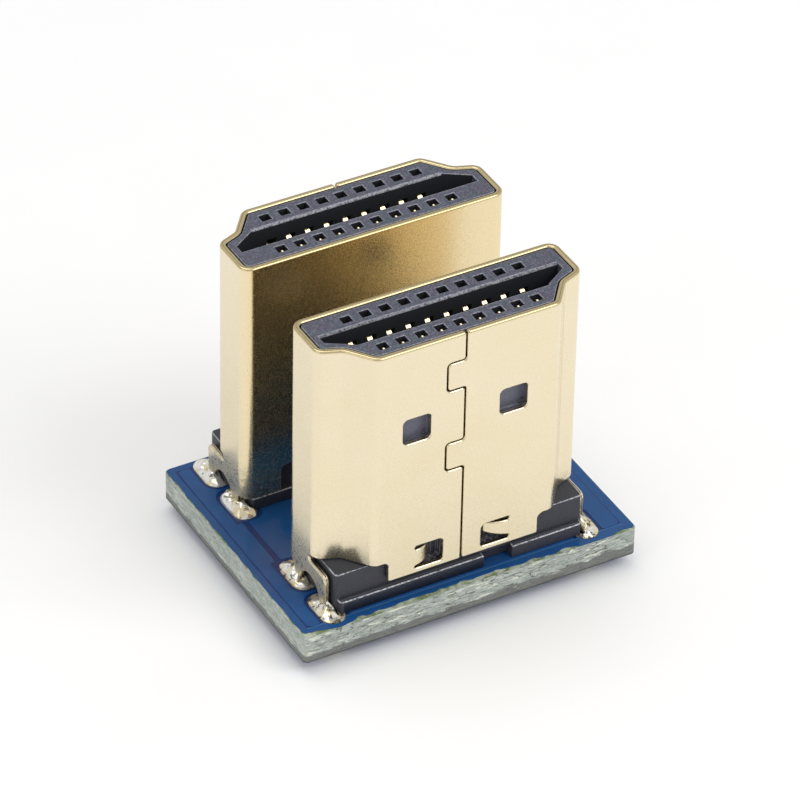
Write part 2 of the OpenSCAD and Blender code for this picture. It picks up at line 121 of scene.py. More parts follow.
def attribute(tree, name):
    """A number that was marked on the mesh."""
    return add_node(tree, "Attribute", attribute_name=name).outputs["Fac"]


def object_spot(tree):
    """The place of a shaded point on its object, and the three coordinates of that place."""
    where = add_node(tree, "TexCoord").outputs["Object"]
    return where, add_node(tree, "SeparateXYZ", {"Vector": where}).outputs


def times(first, second):
    """The product of two values."""
    return maths("MULTIPLY", first, second)


def off(coordinate, middle):
    """How far a coordinate lies from a middle that is given in millimetres."""
    return maths("ABSOLUTE", maths("SUBTRACT", coordinate, middle * MM))


def ramp(coordinate, low, high, to_low=0.0, to_high=1.0):
    """A coordinate remapped between two places that are given in millimetres."""
    return remap(coordinate, low * MM, high * MM, to_low, to_high)


def finish(colour, roughness, height, bump_um, metallic=0.0, specular=0.5):
    """Ends a material: one surface with a colour, a roughness and a relief in micrometres."""
    tree = height.id_data
    bump = add_node(tree, "Bump", {"Height": height, "Distance": bump_um * 1e-6})
    surface = add_node(tree, "BsdfPrincipled", {
        "Base Color": colour, "Roughness": roughness, "Metallic": metallic,
        "Normal": bump.outputs[0], "Specular IOR Level": specular,
    })
    add_node(tree, "OutputMaterial", {"Surface": surface.outputs[0]})


def mark(mesh, name, values):
    """Keeps one number for each face on the mesh, for a material to read."""
    kept = mesh.attributes.new(name, "FLOAT", "FACE")
    kept.data.foreach_set("value", np.asarray(values, np.float32))


def put(name, data):
    """A new object at the origin, linked to the scene."""
    made = bpy.data.objects.new(name, data)
    bpy.context.collection.objects.link(made)
    return made


def place_piece(mesh, material, replaced=()):
    """Puts a mesh in the scene under its own name, riding on the part's one body."""
    mesh.materials.append(material)
    piece = put(mesh.name, mesh)
    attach(piece, "root")
    if len(replaced):
        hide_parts(*replaced)
    print(mesh.name, len(mesh.vertices), "vertices", len(mesh.polygons), "faces")
    return piece


def mesh_from(name, points, faces, normals=None, smooth_below=40):
    """A mesh from points in millimetres. faces is a list of arrays of point numbers, and normals
    are per point, if they are known."""
    mesh = bpy.data.meshes.new(name)
    rows = [row for group in faces for row in group.tolist()]
    mesh.from_pydata((np.asarray(points) * MM).tolist(), [], rows)
    mesh.shade_smooth()
    if normals is None:
        mesh.set_sharp_from_angle(angle=np.radians(smooth_below))
    else:
        mesh.normals_split_custom_set_from_vertices(normals.tolist())
    return mesh


# %% [markdown]
# ## Where the plugs stand
#
# The heights and middles that drive the new pieces are read from the frame's own boxes, so the
# pieces can't drift away from it. Two thicknesses are written here, and each later cell begins
# with the sizes of what it makes.

# %% Driving sizes
(shell_low, shell_high), (rear_low, rear_high), (board_low, board_high) = (
    np.array(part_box(name)) / MM for name in ("front_shell", "rear_shell", "board")
)
BOARD_TOP = board_high[2]
PLUG_X = (shell_low[0] + shell_high[0]) / 2
FRONT_Y = (shell_low[1] + shell_high[1]) / 2
REAR_Y = (rear_low[1] + rear_high[1]) / 2
RIM = shell_high[2] - BOARD_TOP
LEG_TIP = shell_low[2] - BOARD_TOP
SIDE_X = (shell_high[0] - shell_low[0]) / 2
WIDE_Y = (shell_high[1] - shell_low[1]) / 2
SHEET, BOARD_THICK = 0.3, 1.5

# Each plug is drawn round the origin. The rear one is turned by half a turn
SPOTS = {"front": (PLUG_X, FRONT_Y, BOARD_TOP), "rear": (PLUG_X, REAR_Y, BOARD_TOP)}
TURNS = {"front": (1, 1, 1), "rear": (-1, -1, 1)}


def plug_mesh(plug, name, points, faces, normals=None, smooth_below=40):
    """The mesh of one piece of a plug, put where the plug stands."""
    if normals is not None:
        normals = normals * TURNS[plug]
    places = points * TURNS[plug] + SPOTS[plug]
    return mesh_from(f"{plug}_{name}", places, faces, normals, smooth_below)


# %% [markdown]
# ## Camera, floor and light
#
# The picture is taken from above the left front corner with a long lens, which keeps parallel
# edges nearly parallel. Gold shows what it reflects, so the light matters more than any colour:
# big soft panels and a pale surround give it broad calm reflections.

# %% Camera
AIM = np.array([PLUG_X - 3.139, FRONT_Y - 1.447, 13.099])
AZIMUTH, ELEVATION, ROLL = np.radians([-29.665, 36.949, -1.209])
DISTANCE = 258.57
LENS, SENSOR = 255.93, 36.0

back = np.array([
    np.sin(AZIMUTH) * np.cos(ELEVATION),
    -np.cos(AZIMUTH) * np.cos(ELEVATION),
    np.sin(ELEVATION),
])
level = np.array([np.cos(AZIMUTH), np.sin(AZIMUTH), 0])
upright = np.cross(back, level)
right = np.cos(ROLL) * level - np.sin(ROLL) * upright
above = np.sin(ROLL) * level + np.cos(ROLL) * upright

camera_data = bpy.data.cameras.new("studio_camera")
camera_data.lens = LENS
camera_data.sensor_width = SENSOR
camera_data.clip_start, camera_data.clip_end = 0.01, 10
camera = put("studio_camera", camera_data)
turn = Matrix([Vector(axis) for axis in (right, above, back)]).transposed().to_4x4()
camera.matrix_world = Matrix.Translation(Vector((AIM + back * DISTANCE) * MM)) @ turn
bpy.context.scene.camera = camera
bpy.context.scene.view_settings.view_transform = "Standard"

# %% Floor and light
floor_material, tree = new_material("studio_paper")
grain = add_node(tree, "TexNoise", {"Scale": 250, "Detail": 3}).outputs[0]
finish(blend(grain, "#FCFCFC", "#FFFFFF"), 0.9, grain, 0, specular=0.1)
FLOOR_HALF = 900
corners = np.array([[-1, -1, 0], [1, -1, 0], [1, 1, 0], [-1, 1, 0]]) * FLOOR_HALF
floor_mesh = mesh_from("studio_floor", corners, [np.array([[0, 1, 2, 3]])])
floor_mesh.materials.append(floor_material)
floor = put("studio_floor", floor_mesh)


def soft_panel(name, place, size, power):
    """A square white light at a place in millimetres, turned to face the plugs' middle."""
    data = bpy.data.lights.new(name, "AREA")
    data.size = size * MM
    data.energy = power
    lamp = put(name, data)
    lamp.location = Vector(place) * MM
    lamp.rotation_euler = (MIDDLE - Vector(place)).to_track_quat("-Z", "Y").to_euler()


MIDDLE = Vector((0, 0, 8))
soft_panel("key_panel", (105, -150, 195), 150, 0.2)
soft_panel("top_panel", (-30, 60, 260), 180, 0.16)
soft_panel("left_panel", (-260, -60, 120), 160, 0.06)

world = bpy.data.worlds.new("pale_surround")
bpy.context.scene.world = world
world.use_nodes = True
world.node_tree.nodes.clear()
surround = add_node(world.node_tree, "Background", {
    "Color": linear("#FFFFFF"), "Strength": 0.64,
})
add_node(world.node_tree, "OutputWorld", {"Surface": surround.outputs[0]})

# %% [markdown]
# ## Gold flash over nickel
#
# The shells are stamped from thin steel or brass strip, plated with nickel and then with a flash
# of gold a fraction of a micrometre thick. So thin a gold layer looks pale, like champagne. The
# strip keeps a fine orange peel from rolling and plating, which blurs and speckles reflections.

# %% Gold flash
GAP_Y = (FRONT_Y + REAR_Y) / 2
GAP_HALF = REAR_Y - WIDE_Y - GAP_Y


def gold_flash(name, base, deep, thick, cut, rim, peel_mm, roughness, bump_um):
    """Pale plated metal: noise between two golds, a peel of the given size and a soft sheen. The
    wide faces that look into the gap between the plugs take a warmer, darker gold as painted shade.
    On a cut edge the torn line is dark, and the rest is painted pale, partly as burnish and partly
    as painted highlight. The rim wears down to an olive gold, and a thin brown film of flux stains
    the metal close to the board."""
    made, tree = new_material(name)
    where, axes = object_spot(tree)
    # Painted shade: the wide faces that look into the gap between the plugs take the colour given
    # as thick, a warmer, darker gold
    gap_shade_share = ramp(off(axes["Y"], GAP_Y), GAP_HALF + 0.1, GAP_HALF + 0.5, 1.0, 0.0)
    tint = blend(gap_shade_share, blend(noise(where, 2.5), base, deep), thick)
    edge = attribute(tree, "cut")
    # Painted highlight: the smooth half of a cut and the inner round are painted pale, partly as
    # burnish
    burnish_and_highlight = blend(times(edge, -0.7), tint, "#F8EACB")
    sheared = blend(edge, burnish_and_highlight, cut)
    top_z = BOARD_TOP + RIM
    at_rim = ramp(axes["Z"], top_z - 0.14, top_z - 0.09, 0.0, 0.65)
    thinner = blend(at_rim, sheared, rim)
    near_board = ramp(axes["Z"], BOARD_TOP + 1.2, BOARD_TOP + 3.0, 0.85, 0.0)
    off_middle = off(axes["X"], PLUG_X)
    aside = ramp(off_middle, 4.3, 5.1)
    blotch = remap(noise(where, 0.25, 5, 0.8), 0.4, 0.56)
    stain = times(times(near_board, aside), blotch)
    peel = noise(where, peel_mm, 4, 0.65)
    rough = remap(peel, 0.35, 0.65, roughness * 0.85, roughness * 1.2)
    duller = maths("MULTIPLY_ADD", stain, 0.18, rough)
    on_plate = ramp(off_middle, SIDE_X - 0.1, SIDE_X - 0.03)
    film = blend(on_plate, "#827C66", "#ABA695")
    bare_metal = remap(times(stain, on_plate), 0.0, 1.0, 1.0, 0.35)
    finish(blend(stain, thinner, film), duller, peel, bump_um, metallic=bare_metal)
    return made


# The third colour is the painted shade of the wide faces that look into the gap between the plugs
shell_gold = gold_flash(
    "gold_flash_over_nickel",
    "#EFE4C9", "#EBDCB9", "#EDDBB2", "#6A4C2C", "#C8B47E", 0.11, 0.24, 2.6,
)
contact_gold = gold_flash(
    "gold_plated_spring_bronze",
    "#FFF0C4", "#F6DC9A", "#FFF0C4", "#D9B870", "#FFF0C4", 0.1, 0.15, 1.5,
)

# %% [markdown]
# ## Moulding, laminate, mask and solder
#
# The insulators are moulded from a stiff resin filled with short glass, in a slate grey that
# shimmers between teal and purple where the melt met. Its edges and the lips of its slot show
# pale, partly from knocks in the bag and partly as painted highlight. It is painted darker towards
# the board and in the hollow behind its face as shade, and paler where it shows through the latch
# windows as light. The board is woven glass in epoxy, sawn at its edges, under a blue mask that
# looks darker where there is no copper beneath it. The legs were soldered by hand with bright tin.

# %% Resin
housing_resin, tree = new_material("glass_filled_slate_resin")
where, axes = object_spot(tree)
height = axes["Z"]
clouds = blend(remap(noise(where, 0.45), 0.38, 0.62), "#3C454F", "#484152")
glass = noise(where, 0.08)
mottled = blend(remap(glass, 0.44, 0.74, 0.0, 0.75), clouds, "#7E8496")
# Painted shade: the moulding is painted darker towards the board, fully below 3 mm above it and
# fading out by 7 mm
at_base = ramp(height, BOARD_TOP + 3, BOARD_TOP + 7, 0.78, 0.0)
darker = blend(at_base, mottled, "#26272E")
# Painted light: the band from 7 to 13.5 mm above the board, which shows through the latch windows,
# is painted paler
above_base = ramp(height, BOARD_TOP + 7, BOARD_TOP + 8, 0.0, 0.55)
below_face = ramp(height, BOARD_TOP + 13.2, BOARD_TOP + 13.5, 1.0, 0.0)
painted_window_light = blend(times(above_base, below_face), darker, "#7A7C8C")
upright_grain = add_node(tree, "Mapping", {"Vector": where, "Scale": (1, 1, 0.06)}).outputs[0]
beside_lance = ramp(off(axes["X"], PLUG_X), 2.9, 3.0, 0.7, 0.0)
by_lance = times(beside_lance, ramp(height, BOARD_TOP + 1.1, BOARD_TOP + 1.2))
score = times(remap(noise(upright_grain, 0.09, 2), 0.52, 0.62), by_lance)
scored = blend(times(score, at_base), painted_window_light, "#8E90A0")
# Painted shade: faces in the hollow behind the face are painted dark
shaded = blend(attribute(tree, "hollow_shade"), scored, "#2A2C32")
# The marked rounds and slanted lip faces are painted pale, partly as wear and partly as painted
# highlight
pale_speckle = remap(noise(where, 0.12, 4, 0.75), 0.36, 0.58)
pale_wear_and_highlight = blend(times(attribute(tree, "wear_and_highlight"), pale_speckle), shaded, "#D3D5DE")
finish(pale_wear_and_highlight, remap(glass, 0.3, 0.7, 0.42, 0.58), glass, 8)

# %% Laminate
laminate, tree = new_material("sawn_glass_epoxy_laminate")
where, axes = object_spot(tree)
height = axes["Z"]
along_board = add_node(tree, "Mapping", {"Vector": where, "Scale": (0.22, 0.22, 1)}).outputs[0]
facing = add_node(tree, "TexCoord").outputs["Normal"]
facing_x = add_node(tree, "SeparateXYZ", {"Vector": facing}).outputs["X"]
coarse = remap(maths("ABSOLUTE", facing_x), 0.4, 0.9, 1.0, 0.3)
streak = noise(along_board, 0.1, 5, 0.7)
saw = noise(where, 0.09, 4, 0.7)
sawn = blend(remap(streak, 0.36, 0.62), "#89928A", "#C1C9C3")
dusty = blend(remap(saw, 0.52, 0.72, 0, 0.6), sawn, "#DDE2D8")
torn = remap(noise(along_board, 0.3, 4, 0.7), 0.56, 0.6)
chipped = blend(times(torn, coarse), dusty, "#E2E6D8")
crack = noise(along_board, 0.22, 2, 0.4)
from_crack = maths("ABSOLUTE", maths("SUBTRACT", crack, 0.47))
clustered = times(remap(noise(where, 1.0, 2), 0.44, 0.52), coarse)
open_crack = times(remap(from_crack, 0.006, 0.024, 0.9, 0.0), clustered)
cracked = blend(open_crack, chipped, "#565C46")
rising = ramp(axes["X"], board_low[0], board_high[0], 0.0, -0.22 * MM)
jagged = maths("MULTIPLY_ADD", noise(along_board, 0.3, 4, 0.7), 0.8 * MM, rising)
low = BOARD_TOP - BOARD_THICK
burnt = ramp(maths("ADD", height, jagged), low + 0.72, low + 0.78, 0.9, 0.0)
smoky = blend(burnt, cracked, blend(streak, "#4A4C4C", "#8E908C"))
edged = blend(ramp(height, low + 0.05, low + 0.12, 0.7, 0.0), smoky, "#3A3C3A")
on_top = ramp(height, BOARD_TOP - 0.004, BOARD_TOP - 0.002)
patches = remap(noise(where, 0.7), 0.42, 0.56)
olive = blend(patches, blend(saw, "#56683C", "#8BA070"), "#B9C2B2")
relief = maths("MULTIPLY_ADD", streak, 2.0, maths("SUBTRACT", saw, open_crack))
finish(blend(on_top, edged, olive), 0.62, relief, 30)

# %% Solder mask, tinned land and solder
MASK_LOW = board_low[:2] + [0.07, 0.3]
MASK_HIGH = board_high[:2] - [0.03, 0.01]
POUR_LOW, POUR_HIGH = MASK_LOW + [0.4, 0.3], MASK_HIGH - [0.54, 0.42]
POUR_HALF = (POUR_HIGH - POUR_LOW) / 2
POUR_MIDDLE = (POUR_HIGH + POUR_LOW) / 2
mask_blue, tree = new_material("blue_solder_mask")
where, axes = object_spot(tree)
beyond_pour = [
    maths("SUBTRACT", off(axes[axis], middle), half * MM)
    for axis, middle, half in zip("XY", POUR_MIDDLE, POUR_HALF)
]
border = ramp(maths("MAXIMUM", *beyond_pour), 0.05, 0.07)
over_copper = maths("MAXIMUM", attribute(tree, "copper"), border)
ripple = noise(where, 0.6)
lit_line = ramp(axes["Y"], POUR_LOW[1] - 0.01, POUR_LOW[1], 0.8, 0.0)
bare = blend(lit_line, blend(ripple, "#1B2F62", "#1F3A70"), "#4478AC")
covered = blend(ripple, "#1B4880", "#225690")
finish(blend(over_copper, bare, covered), 0.2, ripple, 14, specular=0.35)


def tinned(name, bright, dull, roughness, bump_um):
    """Tin that froze over gold: bright metal with duller, slightly gold patches, a fine skin, and
    burnt flux caught here and there."""
    made, tree = new_material(name)
    where, axes = object_spot(tree)
    skin = noise(where, 0.2, 4)
    sooty = ramp(axes["Y"], REAR_Y, FRONT_Y, 0.0, 0.07)
    patch = remap(maths("ADD", noise(where, 0.45, 2), sooty), 0.45, 0.62)
    flux = remap(maths("ADD", noise(where, 0.3, 3, 0.7), sooty), 0.6, 0.65, 0.0, 0.85)
    colour = blend(flux, blend(patch, bright, dull), "#3A3226")
    rough = remap(skin, 0.3, 0.7, roughness * 0.6, roughness * 1.5)
    finish(colour, rough, skin, bump_um, metallic=0.6)
    return made


land_tin = tinned("tinned_copper_land", "#F2EFE6", "#E6D8B0", 0.2, 6)
solder_tin = tinned("bright_tin_solder", "#FDFCF8", "#EFE2BE", 0.1, 8)

# %% Give the frame its finishes
for key, material in {
    "shell": shell_gold, "housing": housing_resin, "contact": contact_gold, "lands": land_tin,
    "solder": solder_tin, "board": laminate,
}.items():
    for name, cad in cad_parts.items():
        if key in name:
            cad.data.materials.clear()
            cad.data.materials.append(material)

# %% [markdown]
# ## The folded shell
#
# A shell starts as a flat blank, stamped from strip 0.3 mm thick, with its windows, legs and the
# two seam tabs already in it. A tool then folds it round a former until its two ends lock. The
# same order works here: the blank is drawn flat, as distance round the outline against height,
# cut into triangles, and each point is then carried to its place on the folded outline. Stamping
# leaves the cut edges rounded, and those round edges are what catches the light. Two lances are
# cut free in the same stroke and pushed inwards, where they bite into the moulding.

# %% Outline that the blank is folded round
NARROW_WIDTH, KNEE_WIDTH = 9.5, 11.6
KNEE_RISE, SHOULDER_RISE = 1.35, 1.8
SIDE_BEND, WIDE_BEND = 0.6, 0.6
ARC_STEP = np.radians(7.5)


def unit(v):
    """A vector, or rows of vectors, brought to length one."""
    return v / np.linalg.norm(v, axis=-1, keepdims=True)


def bend_round(before, corner, after, radius, step):
    """The arc that rounds a corner, as points and normals to the right of the way it runs: the
    first leg's normal is turned in equal angles to the second's, about a centre on the bisector."""
    u, v = unit(corner - before), unit(after - corner)
    facing = np.array([u[1], -u[0]])
    cross = u[0] * v[1] - u[1] * v[0]
    angle = np.arctan2(cross, u @ v)
    radius = radius * np.sign(cross)
    centre = corner - u * radius * np.tan(angle / 2) - radius * facing
    turns = np.linspace(0, angle, max(2, int(np.ceil(abs(angle) / step)) + 1))[:, None]
    normals = np.hstack([
        facing[0] * np.cos(turns) - facing[1] * np.sin(turns),
        facing[0] * np.sin(turns) + facing[1] * np.cos(turns),
    ])
    return centre + radius * normals, normals


def corner_arcs(corners, step=ARC_STEP):
    """The arcs of all corners of a closed outline, given as rows of x, y and radius."""
    rows = np.array(corners, float)
    spots = rows[:, :2]
    ahead, behind = np.roll(spots, -1, axis=0), np.roll(spots, 1, axis=0)
    return [bend_round(b, c, a, r, step) for b, c, a, r in zip(behind, spots, ahead, rows[:, 2])]


NARROW_Y = -WIDE_Y
right_corners = [
    (NARROW_WIDTH / 2, NARROW_Y, SIDE_BEND), (KNEE_WIDTH / 2, NARROW_Y + KNEE_RISE, SIDE_BEND),
    (SIDE_X, NARROW_Y + SHOULDER_RISE, SIDE_BEND), (SIDE_X, WIDE_Y, WIDE_BEND),
]
shell_corners = right_corners + [(-x, y, bend) for x, y, bend in right_corners[::-1]]
seam_spot = np.array([[0, NARROW_Y]])
seam_facing = np.array([[0, -1.0]])
fine_arcs = corner_arcs(shell_corners, np.radians(1))
track = np.vstack([seam_spot, *(points for points, _ in fine_arcs), seam_spot])
track_facing = np.vstack([seam_facing, *(facing for _, facing in fine_arcs), seam_facing])
track_at = np.append(0, np.cumsum(np.linalg.norm(np.diff(track, axis=0), axis=1)))
ROUND = track_at[-1]

# %% Fold a flat blank round the outline
arc_ends = 1 + np.cumsum([0] + [len(points) for points, _ in fine_arcs])
SIDE_START = track_at[arc_ends[3] - 1]
side_start_y = track[arc_ends[3] - 1, 1]
LEG_SPLIT, LEG_INNER = 2.1, 5.0


def fold_shell(flat):
    """Carries (distance round, height) to the folded shell: place, both directions and normal.
    The left half mirrors the right. Below the slit a leg plate runs straight on in its side wall.
    A lance winds inwards on an arc: across by the radius times the sine of its turn, and in by
    the radius times one minus the cosine."""
    way = np.mod(flat[:, 0], ROUND)
    left = way > ROUND / 2
    way = np.where(left, ROUND - way, way)
    x, y = (np.interp(way, track_at, track[:, i]) for i in (0, 1))
    out = unit(np.stack([np.interp(way, track_at, track_facing[:, i]) for i in (0, 1)], axis=1))
    leg = (flat[:, 1] < LEG_SPLIT) & (way > LEG_INNER) & (way < SIDE_START)
    x = np.where(leg, SIDE_X, x)
    y = np.where(leg, side_start_y - (SIDE_START - way), y)
    out = np.where(leg[:, None], [1.0, 0.0], out)
    side = np.where(left, -1, 1)
    place = np.stack([x * side, y, flat[:, 1]], axis=1)
    normal = np.stack([out[:, 0] * side, out[:, 1], 0 * x], axis=1)
    for lance in LANCES:
        root, low, high = lance_frame(lance["side"])
        beyond = (place[:, 0] - root) * lance["side"]
        cut_free = (beyond > 0) & (beyond < LANCE_WIDTH - TIP_GAP / 2) & (way < LANCE_REGION)
        cut_free &= (flat[:, 1] > low + lance["foot"] / 2) & (flat[:, 1] < high - LANCE_SLIT / 2)
        turn = (place[cut_free, 0] - root) / lance["radius"]
        place[cut_free, 0] = root + lance["radius"] * np.sin(turn)
        place[cut_free, 1] += lance["radius"] * (1 - np.cos(turn))
        normal[cut_free, :2] = np.stack([np.sin(turn), -np.cos(turn)], axis=1)
    along = np.stack([-normal[:, 1], normal[:, 0], 0 * x], axis=1)
    return place, along, np.array([0, 0, 1.0]), normal


# %% Draw a loop, and fill a flat shape with triangles
# Least distance of a stop from a run's ends and of a step from a stop, and of two points
END_GAP, STOP_GAP, SAME_SPOT = 0.02, 0.03, 1e-4


def rounded_loop(corners, longest=0.3, stops=(), step=ARC_STEP):
    """A closed loop as points and normals to its right: arcs at the corners, and between them
    straight runs split where they pass the given x stops and into steps no longer than asked."""
    arcs = corner_arcs(corners, step)
    points, normals = [], []
    for (arc, facing), (next_arc, _) in zip(arcs, arcs[1:] + arcs[:1]):
        run = next_arc[0] - arc[-1]
        length = max(np.linalg.norm(run), 1e-9)
        shares = np.linspace(0, 1, max(2, int(np.ceil(length / longest)) + 1))[1:-1]
        if len(stops) and abs(run[0]) > 0.3 * length:
            crossing = (np.array(stops) - arc[-1][0]) / run[0]
            crossing = crossing[np.minimum(crossing, 1 - crossing) * length > END_GAP]
            clear = np.abs(shares[:, None] - crossing[None, :]).min(axis=1, initial=1) * length
            shares = np.union1d(shares[clear > STOP_GAP], crossing)
        points += [arc, arc[-1] + shares[:, None] * run]
        normals += [facing, np.repeat(facing[-1:], len(shares), axis=0)]
    points, normals = np.vstack(points), np.vstack(normals)
    keep = np.linalg.norm(points - np.roll(points, -1, axis=0), axis=1) > SAME_SPOT
    return points[keep], normals[keep]


def box_loop(low, high, bend, longest=0.3):
    """A rectangle's loop with rounded corners, run counter-clockwise from its lowest corner."""
    (x0, y0), (x1, y1) = low, high
    corners = [(x0, y0, bend), (x1, y0, bend), (x1, y1, bend), (x0, y1, bend)]
    return rounded_loop(corners, longest)


def loop_edges(loops):
    """Pairs of point numbers that close each loop, counted through all loops."""
    starts = np.cumsum([0] + [len(points) for points in loops])
    rows = [np.arange(a, b) for a, b in zip(starts, starts[1:])]
    return np.vstack([np.stack([row, np.roll(row, -1)], axis=1) for row in rows])


def inside(spots, loops):
    """True where a line from the spot to the right crosses the loops an odd number of times."""
    points, edges = np.vstack(loops), loop_edges(loops)
    (ax, ay), (bx, by) = points[edges[:, 0]].T, points[edges[:, 1]].T
    x, y = spots[:, :1], spots[:, 1:]
    spans = (ay > y) != (by > y)
    rise = np.where(by == ay, 1, by - ay)
    return (spans & (x < ax + (y - ay) / rise * (bx - ax))).sum(axis=1) % 2 == 1


def clearance(spots, loops):
    """Distance from each spot to the nearest loop edge: to its foot on the edge, kept between
    the edge's ends."""
    points, edges = np.vstack(loops), loop_edges(loops)
    a, b = points[edges[:, 0]], points[edges[:, 1]]
    run = b - a
    share = ((spots[:, None] - a) * run).sum(axis=2) / np.maximum((run**2).sum(axis=1), 1e-12)
    foot = a + np.clip(share, 0, 1)[..., None] * run
    return np.linalg.norm(spots[:, None] - foot, axis=2).min(axis=1)


def fill_flat(loops, columns, rows, margin=0.04):
    """Points and triangles of the region inside the loops: the loops' own points, a grid of
    columns and rows kept clear of them, and the Delaunay triangles whose middles lie inside."""
    grid = np.stack(np.meshgrid(columns, rows), axis=-1).reshape(-1, 2)
    grid = grid[inside(grid, loops)]
    grid = grid[clearance(grid, loops) > margin]
    flat = np.vstack([*loops, grid])
    made = geometry.delaunay_2d_cdt(
        [Vector(p) for p in flat.tolist()], loop_edges(loops).tolist(), [], 0, 1e-7
    )
    assert len(made[0]) == len(flat), "a loop crosses itself"
    triangles = np.array([origin[0] for origin in made[3]])[np.array(made[2])]
    triangles = triangles[inside(flat[triangles].mean(axis=1), loops)]
    turn = np.linalg.det(flat[triangles[:, 1:]] - flat[triangles[:, :1]])
    triangles[turn < 0] = triangles[turn < 0][:, ::-1]
    return flat, triangles


# %% Turn a flat blank into sheet with rounded cut edges
def sheet_solid(loops, fold, thickness, edge_round, columns=(), rows=(), steps=3):
    """Folded sheet as points, faces and normals. Both faces stop short of the cut edge by its
    rounding. Between them a ring runs round each loop: a quarter circle, the torn and the
    smooth half of the flat cut, and a quarter circle, each point out from the loop by the sine
    and in from the face by one minus the cosine of its turn."""
    inset = [points - edge_round * facing for points, facing in loops]
    outward = np.vstack([facing for _, facing in loops])
    flat, triangles = fill_flat(inset, np.array(columns), np.array(rows))
    rim = len(outward)
    place, along, across, normal = fold(flat)
    turns = np.linspace(0, np.pi / 2, steps + 1)
    reach = np.concatenate([np.sin(turns), [1], np.sin(turns)[::-1]]) * edge_round
    quarter = (1 - np.cos(turns)) * edge_round
    depth = np.concatenate([quarter, [thickness / 2], thickness - quarter[::-1]])
    tilt = np.concatenate([turns, [np.pi / 2], np.pi - turns[::-1]])
    points, normals = [place, place - thickness * normal], [normal, -normal]
    for level in range(1, len(reach) - 1):
        spots, side, rise, face = fold(flat[:rim] + reach[level] * outward)
        aside = outward[:, :1] * side + outward[:, 1:] * rise
        points.append(spots - depth[level] * face)
        normals.append(np.cos(tilt[level]) * face + np.sin(tilt[level]) * aside)
    size = len(flat)
    level_start = [0] + [2 * size + rim * k for k in range(len(reach) - 2)] + [size]
    edges = loop_edges(inset)
    faces = [triangles, triangles[:, ::-1] + size]
    rings = [
        np.stack([edges[:, 0] + a, edges[:, 0] + b, edges[:, 1] + b, edges[:, 1] + a], axis=1)
        for a, b in zip(level_start, level_start[1:])
    ]
    return np.vstack(points), faces + rings, np.vstack(normals)


# %% The blank, as it leaves the stamping press
SEAM_SHIFT, SEAM_GAP = 0.12, 0.07
TAB_REACH, TAB_HEIGHT, TAB_DROP, TAB_PITCH = 0.95, 1.56, 1.54, 4.55
TAB_BEND, TAB_ROOT_BEND = 0.2, 0.17
SKIRT_Z, SKIRT_HALF, CORNER_Z, WIDE_CUT_HALF = 1.12, 4.0, 0.8, 4.9
CUT_Z, CUT_BEND = 2.24, 0.3
PLATE_TOP, PLATE_FRONT, PLATE_BACK, PLATE_BEND = 1.9, -1.46, 1.56, 0.3
ARCH_Y, ARCH_RADIUS, ARCH_Z, LEG_BEVEL, SLIT_START = 0.05, 0.95, 0.12, 0.22, 0.12
WINDOW_SHIFT = 0.08
LATCH_X, LATCH_DROP, LATCH_WIDTH, LATCH_HEIGHT = 2.54, 4.68, 1.44, 1.38
LANCE_X, LANCE_Z, LANCE_WIDTH, LANCE_HEIGHT = 1.76, 2.05, 1.48, 1.28
LATCH_BEND, SMALL_BEND = 0.25, 0.13
EDGE_ROUND = 0.11

# Two tongues cut free on three sides and pushed in: the side each runs to, the arc it is wound
# on, and the height of its foot over the window's at the root and at the tip
LANCES = [
    dict(side=1, radius=1.05, angle=66, foot=0.16, tip_foot=0.2),
    dict(side=-1, radius=1.95, angle=40, foot=0.2, tip_foot=0.5),
]
LANCE_SLIT, TIP_GAP, LANCE_REGION = 0.2, 0.12, 3.0


def lance_frame(side):
    """Where a lance's window starts at the root, and the window's foot and head."""
    root = -side * (LANCE_X + LANCE_WIDTH / 2) - WINDOW_SHIFT
    return root, LANCE_Z - LANCE_HEIGHT / 2, LANCE_Z + LANCE_HEIGHT / 2


def lance_slit(side, radius, angle, foot, tip_foot):
    """The cut round a lance, clockwise: out along the window's edge, and back round the tongue."""
    root, low, high = lance_frame(side)
    far, tip = root + side * LANCE_WIDTH, root + side * radius * np.radians(angle)
    corners = [
        (far, low, 0.12), (far, high, 0.28), (root, high, 0.098),
        (root, high - LANCE_SLIT, 0.098), (tip, high - LANCE_SLIT, 0.22),
        (tip, low + tip_foot, 0.18), (root, low + foot, 0.075), (root, low, 0.075),
    ][::-side]
    shift = ROUND if root < 0 else 0
    return rounded_loop([(x + shift, z, bend) for x, z, bend in corners], longest=0.1)


def right_foot():
    """Lower edge of the blank's right half, from the skirt past the slit, the plate's front leg,
    the arch and the rear leg to the corner of the wide face."""
    slit = SIDE_START + SLIT_START
    slit_bend = (CUT_Z - PLATE_TOP) / 2 * 0.95
    wide_cut = ROUND / 2 - WIDE_CUT_HALF
    arch_top = ARCH_Z + ARCH_RADIUS
    plate_y = np.array([PLATE_FRONT, ARCH_Y - ARCH_RADIUS, ARCH_Y + ARCH_RADIUS, PLATE_BACK])
    front, near_leg, far_leg, rear = SIDE_START + plate_y - side_start_y
    return [
        (SKIRT_HALF, SKIRT_Z, SMALL_BEND), (SKIRT_HALF, CUT_Z, CUT_BEND),
        (slit, CUT_Z, slit_bend), (slit, PLATE_TOP, slit_bend),
        (front, PLATE_TOP, PLATE_BEND), (front, LEG_TIP, LEG_BEVEL),
        (near_leg, LEG_TIP, LEG_BEVEL), (near_leg, arch_top, ARCH_RADIUS),
        (far_leg, arch_top, ARCH_RADIUS), (far_leg, LEG_TIP, LEG_BEVEL),
        (rear, LEG_TIP, LEG_BEVEL), (rear, CORNER_Z, SMALL_BEND),
        (wide_cut, CORNER_Z, SMALL_BEND), (wide_cut, CUT_Z, CUT_BEND),
    ]


